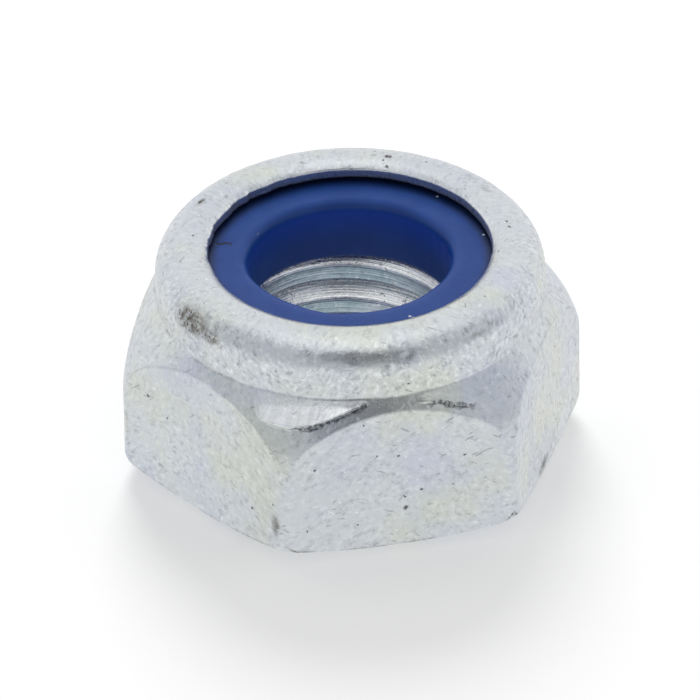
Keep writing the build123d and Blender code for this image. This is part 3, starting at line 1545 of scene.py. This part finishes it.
@dataclass
class SteelThread:
    """The tapped bore below the ring: a right-hand helix made by Geometry Nodes."""

    sizes: FrameSizes
    pitch: float = 1.0
    minor_radius: float = 2.519
    major_radius: float = 3.0
    crest_width: float = 0.34
    flank_angle: float = 45.0
    under_flank_angle: float = 32.0
    crest_rounding: float = 0.06
    turning_mark: float = 0.006
    marks_per_mm: float = 11.0
    mouth_radius: float = 3.25
    run_out: float = 0.06
    crest_azimuth: float = 77.2
    crest_height: float = 3.31
    roughness: float = 0.010
    rows_per_turn: int = 64
    columns: int = 320
    seed: float = 3.0

    def build(self, material: bpy.types.Material) -> bpy.types.Object:
        """Make the threaded sleeve that fills the body's bore.

        Args:
            material: the finish, which the tree sets.

        Returns:
            The finished object, with a plain mesh.
        """
        mesh = bpy.data.meshes.new("thread_seed")
        maker = bpy.data.objects.new("steel_thread_maker", mesh)
        bpy.context.scene.collection.objects.link(maker)
        group = self._tree()
        modifier = maker.modifiers.new("thread", "NODES")
        modifier.node_group = group
        values = {
            "Pitch": self.pitch,
            "Minor Radius": self.minor_radius,
            "Major Radius": self.major_radius,
            "Crest Width": self.crest_width,
            "Flank Slope": 1.0 / math.tan(math.radians(self.flank_angle)),
            "Under Flank Slope": 1.0 / math.tan(math.radians(self.under_flank_angle)),
            "Crest Rounding": self.crest_rounding,
            "Turning Mark": self.turning_mark,
            "Marks Per Millimetre": self.marks_per_mm,
            "Mouth Radius": self.mouth_radius,
            "Run Out": self.run_out,
            "Height": self.sizes.ring_floor,
            "Crest Turn": math.radians(self.crest_azimuth) / WHOLE_TURN,
            "Crest Height": self.crest_height,
            "Roughness": self.roughness,
            "Seed": self.seed,
            "Rows Per Turn": self.rows_per_turn,
            "Columns": self.columns,
            "Material": material,
        }
        for item in group.interface.items_tree:
            if item.in_out == "INPUT":
                modifier[item.identifier] = values[item.name]
        mesh = bpy.data.meshes.new_from_object(
            maker.evaluated_get(bpy.context.evaluated_depsgraph_get())
        )
        bpy.data.objects.remove(maker)
        mesh.name = "steel_thread"
        if enclosed_volume(mesh) < 0.0:
            mesh.flip_normals()
        mesh.shade_smooth()
        piece = bpy.data.objects.new("steel_thread", mesh)
        bpy.context.scene.collection.objects.link(piece)
        return piece

    def _tree(self) -> bpy.types.NodeTree:
        """Wire the node tree that makes the sleeve from its named inputs.

        Returns:
            The tree, which ends in Realize Instances and Set Material.
        """
        group = bpy.data.node_groups.new("threaded_bore", "GeometryNodeTree")
        numbers = ["Pitch", "Minor Radius", "Major Radius", "Crest Width", "Flank Slope"]
        numbers += ["Under Flank Slope", "Mouth Radius", "Run Out", "Height", "Crest Turn"]
        numbers += ["Crest Height", "Crest Rounding", "Turning Mark", "Marks Per Millimetre"]
        numbers += ["Roughness", "Seed"]
        for name in numbers:
            group.interface.new_socket(name, in_out="INPUT", socket_type="NodeSocketFloat")
        for name in ("Rows Per Turn", "Columns"):
            group.interface.new_socket(name, in_out="INPUT", socket_type="NodeSocketInt")
        group.interface.new_socket(
            "Material", in_out="INPUT", socket_type="NodeSocketMaterial"
        )
        group.interface.new_socket(
            "Geometry", in_out="OUTPUT", socket_type="NodeSocketGeometry"
        )
        tree = Wiring(group)
        given = tree.add("NodeGroupInput").outputs
        place = self._place(tree, given)
        grid = tree.add(
            "GeometryNodeMeshGrid",
            {
                "Size X": 1.0,
                "Size Y": 1.0,
                "Vertices X": tree.math("ADD", given["Columns"], 1.0),
                "Vertices Y": place["row_count"],
            },
        )
        marked = tree.add(
            "GeometryNodeStoreNamedAttribute",
            {"Geometry": grid.outputs[0], "Name": "tool_line", "Value": place["tool_line"]},
        )
        rub_and_highlight_share = tree.add(
            "GeometryNodeStoreNamedAttribute",
            {"Geometry": marked.outputs[0], "Name": "rub_and_highlight", "Value": place["rub_and_highlight"]},
        )
        moved = tree.add(
            "GeometryNodeSetPosition",
            {"Geometry": rub_and_highlight_share.outputs[0], "Position": place["position"]},
        )
        closed = tree.add(
            "GeometryNodeMergeByDistance", {"Geometry": moved.outputs[0], "Distance": 2e-7}
        )
        real = tree.add("GeometryNodeRealizeInstances", {"Geometry": closed.outputs[0]})
        dressed = tree.add(
            "GeometryNodeSetMaterial",
            {"Geometry": real.outputs[0], "Material": given["Material"]},
        )
        tree.add("NodeGroupOutput", {0: dressed.outputs[0]})
        return group

    def _place(self, tree: Wiring, given: bpy.types.bpy_prop_collection) -> dict[str, Source]:
        """Where each point of the grid goes.

        The grid's columns run once round the axis and its rows follow the helix, so a row that
        ends after one turn meets the row one pitch above it. The first two rows and the last are
        the hidden outer wall.

        Args:
            tree: the tree under construction.
            given: the group's inputs.

        Returns:
            The row count, and each point's position in metres, place across the thread and
            painted highlight of the upper flanks and the top rim.
        """
        height, pitch = given["Height"], given["Pitch"]
        per_turn = given["Rows Per Turn"]
        turns = tree.math("ADD", tree.math("DIVIDE", height, pitch), 1.0)
        wall_rows = tree.math("CEIL", tree.math("MULTIPLY", turns, per_turn))
        last = tree.math("ADD", wall_rows, 3.0)
        spot = tree.add(
            "ShaderNodeSeparateXYZ", {0: tree.add("GeometryNodeInputPosition").outputs[0]}
        )
        turn = tree.math("ADD", spot.outputs["X"], 0.5)
        row = tree.math("MULTIPLY", tree.math("ADD", spot.outputs["Y"], 0.5), last)
        row = tree.math("ROUND", row)
        climb = tree.math("DIVIDE", tree.math("SUBTRACT", row, 2.0), per_turn)
        climb = tree.math("SUBTRACT", tree.math("ADD", climb, turn), 1.0)
        free = tree.math("MULTIPLY", climb, pitch)
        level = tree.math("MINIMUM", tree.math("MAXIMUM", free, 0.0), height)
        phase = tree.math("DIVIDE", tree.math("SUBTRACT", level, given["Crest Height"]), pitch)
        phase = tree.math("SUBTRACT", phase, tree.math("SUBTRACT", turn, given["Crest Turn"]))
        across = tree.math("SUBTRACT", tree.math("FRACT", tree.math("ADD", phase, 0.5)), 0.5)
        tool_line = tree.math("MULTIPLY", across, pitch)
        wall = self._wall_radius(tree, given, tool_line, level)
        outer_first = tree.math("LESS_THAN", row, 1.5)
        outer_last = tree.math("GREATER_THAN", row, tree.math("SUBTRACT", last, 0.5))
        is_outer = tree.math("MAXIMUM", outer_first, outer_last)
        is_high = tree.math("MAXIMUM", tree.math("LESS_THAN", row, 0.5), outer_last)
        radius = self._choose(tree, is_outer, wall, given["Mouth Radius"])
        level = self._choose(tree, outer_first, level, 0.0)
        level = self._choose(tree, is_high, level, height)
        angle = tree.math("MULTIPLY", turn, WHOLE_TURN)
        inward = self._chatter(tree, given, angle, radius, level)
        radius = tree.math(
            "ADD", radius, tree.math("MULTIPLY", inward, tree.math("SUBTRACT", 1.0, is_outer))
        )
        position = tree.add(
            "ShaderNodeCombineXYZ",
            {
                0: tree.math("MULTIPLY", radius, tree.math("COSINE", angle)),
                1: tree.math("MULTIPLY", radius, tree.math("SINE", angle)),
                2: level,
            },
        )
        return {
            "row_count": tree.math("ADD", last, 1.0),
            "position": tree.scale(position.outputs[0], MM),
            "tool_line": tool_line,
            "rub_and_highlight": self._flank_highlight(tree, given, tool_line, free),
        }

    @staticmethod
    def _flank_highlight(
        tree: Wiring, given: bpy.types.bpy_prop_collection, across: Source, level: Source
    ) -> bpy.types.NodeSocket:
        """The painted highlight on the upper flanks and the top rim.

        Args:
            tree: the tree under construction.
            given: the group's inputs.
            across: the distance from the middle of the nearest crest.
            level: the height above the bearing face.

        Returns:
            Values from 0 to 1.
        """
        rise = SteelThread._rise(tree, given, across)
        # Painted light on the upward-facing upper flanks, and a painted highlight on the top rim.
        flank = tree.math("MULTIPLY", tree.map(rise, 0.0, 0.04), tree.map(rise, 0.54, 0.50))
        rim = tree.map(tree.math("SUBTRACT", given["Height"], level), 0.22, 0.12)
        return tree.math("MAXIMUM", flank, rim)

    @staticmethod
    def _rise(
        tree: Wiring, given: bpy.types.bpy_prop_collection, across: Source
    ) -> bpy.types.NodeSocket:
        """The height above the upper edge of the crest below.

        Args:
            tree: the tree under construction.
            given: the group's inputs.
            across: the distance from the middle of the nearest crest.

        Returns:
            Values from 0 to one pitch.
        """
        half = tree.math("MULTIPLY", given["Crest Width"], 0.5)
        turns = tree.math("DIVIDE", tree.math("SUBTRACT", across, half), given["Pitch"])
        return tree.math("MULTIPLY", tree.math("FRACT", turns), given["Pitch"])

    @staticmethod
    def _choose(tree: Wiring, switch: Source, off: Source, on: Source) -> bpy.types.NodeSocket:
        """The off value where the switch is 0 and the on value where it is 1."""
        difference = tree.math("SUBTRACT", on, off)
        return tree.math("MULTIPLY_ADD", switch, difference, off)

    @staticmethod
    def _wall_radius(
        tree: Wiring, given: bpy.types.bpy_prop_collection, across: Source, level: Source
    ) -> bpy.types.NodeSocket:
        """The bore's radius from the thread's section, the countersink and the run-out.

        Args:
            tree: the tree under construction.
            given: the group's inputs.
            across: the distance from the middle of the nearest crest.
            level: the height above the bearing face.

        Returns:
            The radius in millimetres.
        """
        beyond = tree.math(
            "SUBTRACT",
            tree.math("ABSOLUTE", across),
            tree.math("MULTIPLY", given["Crest Width"], 0.5),
        )
        rise = SteelThread._rise(tree, given, across)
        gap = tree.math("SUBTRACT", given["Pitch"], given["Crest Width"])
        flank = tree.math(
            "MINIMUM",
            tree.math("MULTIPLY", rise, given["Flank Slope"]),
            tree.math("MULTIPLY", tree.math("SUBTRACT", gap, rise), given["Under Flank Slope"]),
        )
        flank = tree.math("ADD", flank, given["Minor Radius"])
        thread = tree.math(
            "SMOOTH_MAX", flank, given["Minor Radius"], given["Crest Rounding"]
        )
        thread = tree.math("SMOOTH_MIN", thread, given["Major Radius"], 0.05)
        wave = tree.math("MULTIPLY", across, given["Marks Per Millimetre"])
        wave = tree.math("ABSOLUTE", tree.math("SINE", tree.math("MULTIPLY", wave, math.pi)))
        on_flank = tree.map(beyond, 0.02, 0.06)
        mark = tree.math("MULTIPLY", wave, given["Turning Mark"])
        thread = tree.math("SUBTRACT", thread, tree.math("MULTIPLY", mark, on_flank))
        countersink = tree.math("SUBTRACT", given["Mouth Radius"], level)
        exit_level = tree.math(
            "SUBTRACT", given["Run Out"], tree.math("SUBTRACT", given["Height"], level)
        )
        run_out = tree.math("ADD", given["Minor Radius"], exit_level)
        widest = tree.math("MAXIMUM", thread, countersink)
        return tree.math("MAXIMUM", widest, run_out)

    @staticmethod
    def _chatter(
        tree: Wiring,
        given: bpy.types.bpy_prop_collection,
        angle: Source,
        radius: Source,
        level: Source,
    ) -> bpy.types.NodeSocket:
        """The small unevenness that the tap leaves, largest at the thread's upper end.

        Args:
            tree: the tree under construction.
            given: the group's inputs.
            angle: each point's azimuth in radians.
            radius: its radius.
            level: its height above the bearing face.

        Returns:
            How far each point moves outwards.
        """
        spot = tree.add(
            "ShaderNodeCombineXYZ",
            {
                0: tree.math("MULTIPLY", radius, tree.math("COSINE", angle)),
                1: tree.math("MULTIPLY", radius, tree.math("SINE", angle)),
                2: tree.math("ADD", tree.math("MULTIPLY", level, 3.0), given["Seed"]),
            },
        )
        rough = tree.noise(spot.outputs[0], 2.2, 3.0, 0.6)
        centred = tree.math("SUBTRACT", rough, 0.5)
        to_top = tree.math("SUBTRACT", given["Height"], level)
        burr = tree.map(to_top, 0.0, 0.25, 4.0, 1.0)
        scale = tree.math("MULTIPLY", given["Roughness"], burr)
        inside = tree.map(level, 0.0, 0.05)
        return tree.math("MULTIPLY", tree.math("MULTIPLY", centred, scale), inside)


# ---- Nylon ring ------------------------------------------------------------------------------


@dataclass
class NylonRing:
    """The ring on the pocket's floor, its outer edge pressed round by the rolled lip."""

    sizes: FrameSizes
    bore_radius: float = 2.479
    mouth_radius: float = 0.26
    pressed_edge: tuple[tuple[float, float], ...] = (
        (-180.0, 0.05),
        (-170.0, 0.12),
        (-154.0, 0.20),
        (-138.0, 0.27),
        (-117.0, 0.24),
        (-106.0, 0.29),
        (-97.0, 0.32),
        (-78.0, 0.29),
        (-59.0, 0.23),
        (-45.0, 0.21),
        (-30.0, 0.13),
        (-14.0, 0.06),
        (5.0, 0.00),
        (165.0, 0.00),
        (180.0, 0.05),
    )
    top_edge_radius: float = 3.86
    side_height: float = 4.98
    foot_radius: float = 0.08
    columns: int = 384
    bore_unevenness: float = 0.03
    top_sag: float = 0.012
    noise: ValueNoise = field(default_factory=lambda: ValueNoise(21))

    def build(self) -> bpy.types.Object:
        """Make the ring's mesh, whose bore is very slightly out of round.

        Returns:
            The finished object.
        """
        azimuths = np.arange(self.columns) * 360.0 / self.columns
        top, floor = self.sizes.ring_top, self.sizes.ring_floor
        inner = rounded_path(
            [
                (self.bore_radius + 0.4, floor),
                (self.bore_radius, floor),
                (self.bore_radius, top),
                (self.top_edge_radius, top),
            ],
            [self.foot_radius, self.mouth_radius],
            8,
        )
        wall = even_rows(inner, 84)
        shoulder = tangent_arc(
            (self.top_edge_radius, top), (self.sizes.ring_radius, self.side_height), (1.0, 0.0)
        )
        outer = np.array([(self.sizes.ring_radius, floor)])
        rows = np.concatenate([wall, even_rows(shoulder, 8)[1:], outer])
        rings = np.repeat(rows[:, None, :], self.columns, axis=1)
        rings = self._out_of_round(rings, azimuths)
        positions = in_space(azimuths, rings)
        return closed_ring_mesh("locking_ring", positions, {})

    def _out_of_round(self, rings: np.ndarray, azimuths: np.ndarray) -> np.ndarray:
        """Press the mouth inwards where the lip squeezed it, and widen the bore a little.

        Args:
            rings: radius and height for each row and column.
            azimuths: the columns' azimuths.

        Returns:
            The changed rows.
        """
        rings = rings.copy()
        top = self.sizes.ring_top
        turn = np.radians(azimuths)
        circle = np.stack([np.cos(turn), np.sin(turn), np.zeros_like(turn)], -1)
        uneven = np.abs(self.noise.at(circle * self.bore_radius, 1.3)) * self.bore_unevenness
        near = bell(rings[..., 0] - self.bore_radius, 0.35)
        angles, pressed = np.array(self.pressed_edge).T
        pressed = np.interp(angle_from(azimuths, 0.0), angles, pressed)
        depth = smooth_step(rings[..., 1], top - 1.1, top - 0.1)
        rings[..., 0] += near * (uneven - depth * pressed)
        sag = np.abs(self.noise.at(in_space(azimuths, rings), 1.1)) * self.top_sag
        rings[..., 1] -= sag * smooth_step(rings[..., 1], top - 0.05, top)
        return rings


# ---- Studio ----------------------------------------------------------------------------------


@dataclass(frozen=True)
class Sky:
    """What polished metal mirrors: a bright ceiling and back wall, and a dim front."""

    front_azimuth: float = -104.0
    front_edge: float = -0.40
    front_core: float = 0.10
    ceiling_edge: float = 55.0
    ceiling_blur: float = 7.0
    ceiling_level: float = 1.0
    overhead_edge: float = 62.0
    overhead_level: float = 1.22
    front_level: float = 0.70
    front_tint: tuple = (0.93, 0.955, 1.0, 1.0)
    patch_azimuth: float = -93.0
    patch_elevation: float = 40.0
    patch_half_size: float = 30.0
    patch_core: float = 0.4
    patch_level: float = 0.17
    patch_tint: tuple = (0.88, 0.90, 1.0, 1.0)
    horizon_fill: float = 0.85
    overhead_fill: float = 0.50

    def build(self) -> bpy.types.World:
        """Make the world.

        Returns:
            The world, white to the camera and even to diffuse light.
        """
        world = bpy.data.worlds.new("studio_sky")
        world.use_nodes = True
        tree = Wiring(world.node_tree)
        path = tree.add("ShaderNodeLightPath")
        direction = tree.add("ShaderNodeTexCoord").outputs["Generated"]
        rise = tree.add("ShaderNodeSeparateXYZ", {0: direction}).outputs["Z"]
        ceiling = tree.map(
            rise,
            math.sin(math.radians(self.ceiling_edge - self.ceiling_blur)),
            math.sin(math.radians(self.ceiling_edge + self.ceiling_blur)),
        )
        ahead = self._facing(tree, direction, self.front_azimuth, 0.0)
        front = tree.map(ahead, self.front_edge, self.front_core)
        dim = tree.math("MULTIPLY", front, tree.math("SUBTRACT", 1.0, ceiling))
        near = self._facing(tree, direction, self.patch_azimuth, self.patch_elevation)
        edge = math.cos(math.radians(self.patch_half_size))
        core = math.cos(math.radians(self.patch_half_size * self.patch_core))
        patch = tree.math("MULTIPLY", tree.map(near, edge, core), dim)
        mirrored = tree.mix(dim, colour(1.0, 1.0, 1.0), self.front_tint)
        mirrored = tree.mix(patch, mirrored, self.patch_tint)
        level = tree.math(
            "MULTIPLY",
            tree.map(dim, 0.0, 1.0, self.ceiling_level, self.front_level),
            tree.map(patch, 0.0, 1.0, 1.0, self.patch_level / self.front_level),
        )
        overhead = tree.map(
            rise, math.sin(math.radians(self.overhead_edge)), 1.0, 1.0, self.overhead_level
        )
        level = tree.math("MULTIPLY", level, overhead)
        glossy = path.outputs["Is Glossy Ray"]
        plain = tree.math(
            "MAXIMUM", path.outputs["Is Camera Ray"], path.outputs["Is Transmission Ray"]
        )
        fill = tree.map(rise, 0.0, 1.0, self.horizon_fill, self.overhead_fill)
        plain = tree.add("ShaderNodeMix", {0: plain, 2: fill, 3: 1.0}).outputs[0]
        strength = tree.add("ShaderNodeMix", {0: glossy, 2: plain, 3: level}).outputs[0]
        background = world.node_tree.nodes["Background"]
        tree.feed(
            background.inputs["Color"], tree.mix(glossy, colour(1.0, 1.0, 1.0), mirrored)
        )
        tree.feed(background.inputs["Strength"], strength)
        return world

    @staticmethod
    def _facing(
        tree: Wiring, direction: Source, azimuth: float, elevation: float
    ) -> bpy.types.NodeSocket:
        """How nearly a direction agrees with a given one.

        Args:
            tree: the tree under construction.
            direction: the unit direction looked at.
            azimuth: the given direction's azimuth in degrees.
            elevation: its angle above the horizon.

        Returns:
            The cosine of the angle between them.
        """
        turn, rise = math.radians(azimuth), math.radians(elevation)
        flat = math.cos(rise)
        towards = (flat * math.cos(turn), flat * math.sin(turn), math.sin(rise))
        return tree.add(
            "ShaderNodeVectorMath", {0: direction, 1: towards}, operation="DOT_PRODUCT"
        ).outputs["Value"]


@dataclass
class Studio:
    """A white sweep, soft light from all around, and the camera."""

    camera_azimuth: float = -12.76
    camera_elevation: float = 33.75
    camera_roll: float = -0.92
    distance: float = 500.0
    pixels_per_mm: float = 40.97
    picture_width: int = 700
    sensor_width: float = 36.0
    clip_start: float = 10.0
    clip_end: float = 10000.0
    target_height: float = 2.941
    target_right: float = -0.0349
    target_up: float = -0.1962
    floor_size: float = 900.0
    floor_gap: float = 0.01
    floor_tone: float = 0.86
    floor_lift: float = 0.26
    mirrored_lift: float = 0.85
    mirrored_tone: float = 0.15
    lamp_place: tuple[float, float, float] = (30.0, 188.0, 165.0)
    lamp_size: float = 120.0
    lamp_watts: float = 0.31
    sky: Sky = Sky()

    def build(self) -> None:
        """Make the floor, the surroundings, the lamps and the camera, and set the view."""
        self._floor()
        bpy.context.scene.world = self.sky.build()
        self._lamps()
        self._camera()
        bpy.context.scene.view_settings.view_transform = "Standard"

    def _camera(self) -> None:
        """A long lens, looking down on the nut's front corner."""
        azimuth, elevation, roll = (
            math.radians(a)
            for a in (self.camera_azimuth, self.camera_elevation, self.camera_roll)
        )
        back = Vector(
            (
                math.sin(azimuth) * math.cos(elevation),
                -math.cos(azimuth) * math.cos(elevation),
                math.sin(elevation),
            )
        )
        level_right = Vector((math.cos(azimuth), math.sin(azimuth), 0.0))
        level_up = back.cross(level_right)
        right = math.cos(roll) * level_right + math.sin(roll) * level_up
        up = math.cos(roll) * level_up - math.sin(roll) * level_right
        target = Vector((0.0, 0.0, self.target_height))
        target += self.target_right * right + self.target_up * up
        place = (target + self.distance * back) * MM
        data = bpy.data.cameras.new("studio_camera")
        data.sensor_width = self.sensor_width
        data.lens = (
            self.pixels_per_mm * self.distance * self.sensor_width / self.picture_width
        )
        data.clip_start = self.clip_start * MM
        data.clip_end = self.clip_end * MM
        camera = bpy.data.objects.new("studio_camera", data)
        camera.matrix_world = Matrix.Translation(place) @ Matrix(
            (right, up, back)
        ).transposed().to_4x4()
        bpy.context.scene.collection.objects.link(camera)
        bpy.context.scene.camera = camera

    def _floor(self) -> None:
        """A pale matt floor, white to the camera and in reflections where nothing shades it."""
        half = self.floor_size / 2.0 * MM
        mesh = bpy.data.meshes.new("studio_floor")
        low = -self.floor_gap * MM
        corners = [(-half, -half, low), (half, -half, low), (half, half, low), (-half, half, low)]
        mesh.from_pydata(corners, [], [(0, 1, 2, 3)])
        floor = bpy.data.objects.new("studio_floor", mesh)
        bpy.context.scene.collection.objects.link(floor)
        material = bpy.data.materials.new("white_paper")
        material.use_nodes = True
        tree = Wiring(material.node_tree)
        shader = material.node_tree.nodes["Principled BSDF"]
        path = tree.add("ShaderNodeLightPath")
        seen = tree.math("MULTIPLY", path.outputs["Is Camera Ray"], self.floor_lift)
        mirrored = tree.math("MULTIPLY", path.outputs["Is Glossy Ray"], self.mirrored_lift)
        lift = tree.math("ADD", seen, mirrored)
        own, dimmed = (colour(t, t, t) for t in (self.floor_tone, self.mirrored_tone))
        tree.feed(
            shader.inputs["Base Color"], tree.mix(path.outputs["Is Glossy Ray"], own, dimmed)
        )
        shader.inputs["Roughness"].default_value = 1.0
        shader.inputs["Specular IOR Level"].default_value = 0.0
        shader.inputs["Emission Color"].default_value = colour(1.0, 1.0, 1.0)
        tree.feed(shader.inputs["Emission Strength"], lift)
        mesh.materials.append(material)

    def _lamps(self) -> None:
        """One large soft lamp above and behind."""
        data = bpy.data.lights.new("softbox", "AREA")
        data.shape = "DISK"
        data.size = self.lamp_size * MM
        data.energy = self.lamp_watts
        lamp = bpy.data.objects.new("softbox", data)
        lamp.location = Vector(self.lamp_place) * MM
        lamp.rotation_euler = lamp.location.to_track_quat("Z", "Y").to_euler()
        lamp.visible_glossy = False
        bpy.context.scene.collection.objects.link(lamp)


# ---- Assembly --------------------------------------------------------------------------------


def main() -> None:
    """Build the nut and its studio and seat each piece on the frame."""
    logging.basicConfig(level=logging.INFO, format="%(name)s: %(message)s")
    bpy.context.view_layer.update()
    sizes = FrameSizes.read()
    log.info("across flats %.2f, height %.2f", sizes.across_flats, sizes.nut_height)

    body = SteelBody(sizes).build()
    body.data.materials.append(ZincPlate().make())
    stand_for(body, CadNode.BODY)

    # The thread's plate: a darker, bluer copy of the outside's plate, as painted shade in the bore.
    shaded_thread_plate = ZincPlate(
        name="zinc_plate_thread_shaded",
        tone=colour(0.39, 0.50, 0.565),
        straw_tint=colour(0.44, 0.53, 0.51),
        roughness=0.34,
        wrapped=False,
        tool_lines=True,
        pits=(),
    ).make()
    stand_for(SteelThread(sizes).build(shaded_thread_plate), CadNode.BODY)

    ring = NylonRing(sizes).build()
    ring.data.materials.append(BlueNylon().make())
    stand_for(ring, CadNode.RING)

    Studio().build()


if __name__ == "__main__":
    main()
